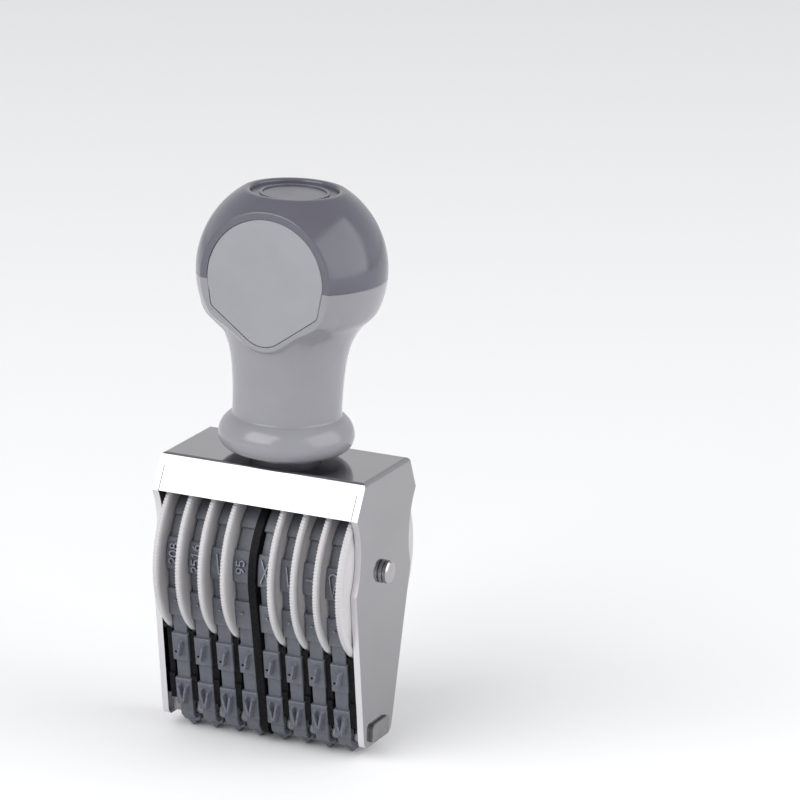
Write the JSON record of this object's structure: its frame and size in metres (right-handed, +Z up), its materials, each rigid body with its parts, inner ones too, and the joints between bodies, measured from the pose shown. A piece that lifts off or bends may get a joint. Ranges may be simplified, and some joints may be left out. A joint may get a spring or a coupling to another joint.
{
  "type": "rotary numbering stamp",
  "caption": "Hand stamp: finger wheels on one axle turn rubber character bands round a bar at the foot of a plated frame, under a ball handle.",
  "frame": {"origin": "on the printing face, below the middle of the frame", "axes": "+X along the axle, +Y to the back, +Z up through the handle"},
  "size_m": [0.0438, 0.034, 0.1044],
  "materials": {
    "plated_sheet": "bright nickel-chrome plating on folded sheet",
    "plated_steel": "bright plated turned pin",
    "spring_steel": "plain bright steel",
    "bar_steel": "dark nickel-plated steel",
    "black_plastic": "matt black moulding",
    "wheel_plastic": "pale warm grey moulding with a finely knurled rim",
    "band_rubber": "slate grey moulded rubber",
    "handle_grey": "glossy light grey moulding",
    "cap_grey": "glossy slate grey moulding",
    "badge_grey": "satin light grey plate",
    "disc_grey": "glossy slate grey disc"
  },
  "bodies": {
    "stamp": {"frame": "plated_sheet", "axle": "plated_steel", "spring_washer": "spring_steel", "bridge_bar": "bar_steel", "centre_divider": "black_plastic", "left_comb": "black_plastic", "right_comb": "black_plastic", "band_1": "band_rubber", "band_2": "band_rubber", "band_3": "band_rubber", "band_4": "band_rubber", "band_5": "band_rubber", "band_6": "band_rubber", "band_7": "band_rubber", "band_8": "band_rubber", "handle_screw": "spring_steel", "handle_body": "handle_grey", "handle_cap": "cap_grey", "front_badge": "badge_grey", "rear_badge": "badge_grey", "top_disc": "disc_grey"},
    "wheel_1": {"wheel_1": "wheel_plastic"},
    "wheel_2": {"wheel_2": "wheel_plastic"},
    "wheel_3": {"wheel_3": "wheel_plastic"},
    "wheel_4": {"wheel_4": "wheel_plastic"},
    "wheel_5": {"wheel_5": "wheel_plastic"},
    "wheel_6": {"wheel_6": "wheel_plastic"},
    "wheel_7": {"wheel_7": "wheel_plastic"},
    "wheel_8": {"wheel_8": "wheel_plastic"}
  },
  "joints": [
    {"name": "wheel_1_turn", "type": "hinge", "parent": "stamp", "child": "wheel_1", "pos_m": [-0.01791, 0, 0.0352], "axis": [1, 0, 0], "continuous": true},
    {"name": "wheel_2_turn", "type": "hinge", "parent": "stamp", "child": "wheel_2", "pos_m": [-0.01338, 0, 0.0352], "axis": [1, 0, 0], "continuous": true},
    {"name": "wheel_3_turn", "type": "hinge", "parent": "stamp", "child": "wheel_3", "pos_m": [-0.00886, 0, 0.0352], "axis": [1, 0, 0], "continuous": true},
    {"name": "wheel_4_turn", "type": "hinge", "parent": "stamp", "child": "wheel_4", "pos_m": [-0.00434, 0, 0.0352], "axis": [1, 0, 0], "continuous": true},
    {"name": "wheel_5_turn", "type": "hinge", "parent": "stamp", "child": "wheel_5", "pos_m": [0.00509, 0, 0.0352], "axis": [1, 0, 0], "continuous": true},
    {"name": "wheel_6_turn", "type": "hinge", "parent": "stamp", "child": "wheel_6", "pos_m": [0.00961, 0, 0.0352], "axis": [1, 0, 0], "continuous": true},
    {"name": "wheel_7_turn", "type": "hinge", "parent": "stamp", "child": "wheel_7", "pos_m": [0.01413, 0, 0.0352], "axis": [1, 0, 0], "continuous": true},
    {"name": "wheel_8_turn", "type": "hinge", "parent": "stamp", "child": "wheel_8", "pos_m": [0.01864, 0, 0.0352], "axis": [1, 0, 0], "continuous": true}
  ]
}
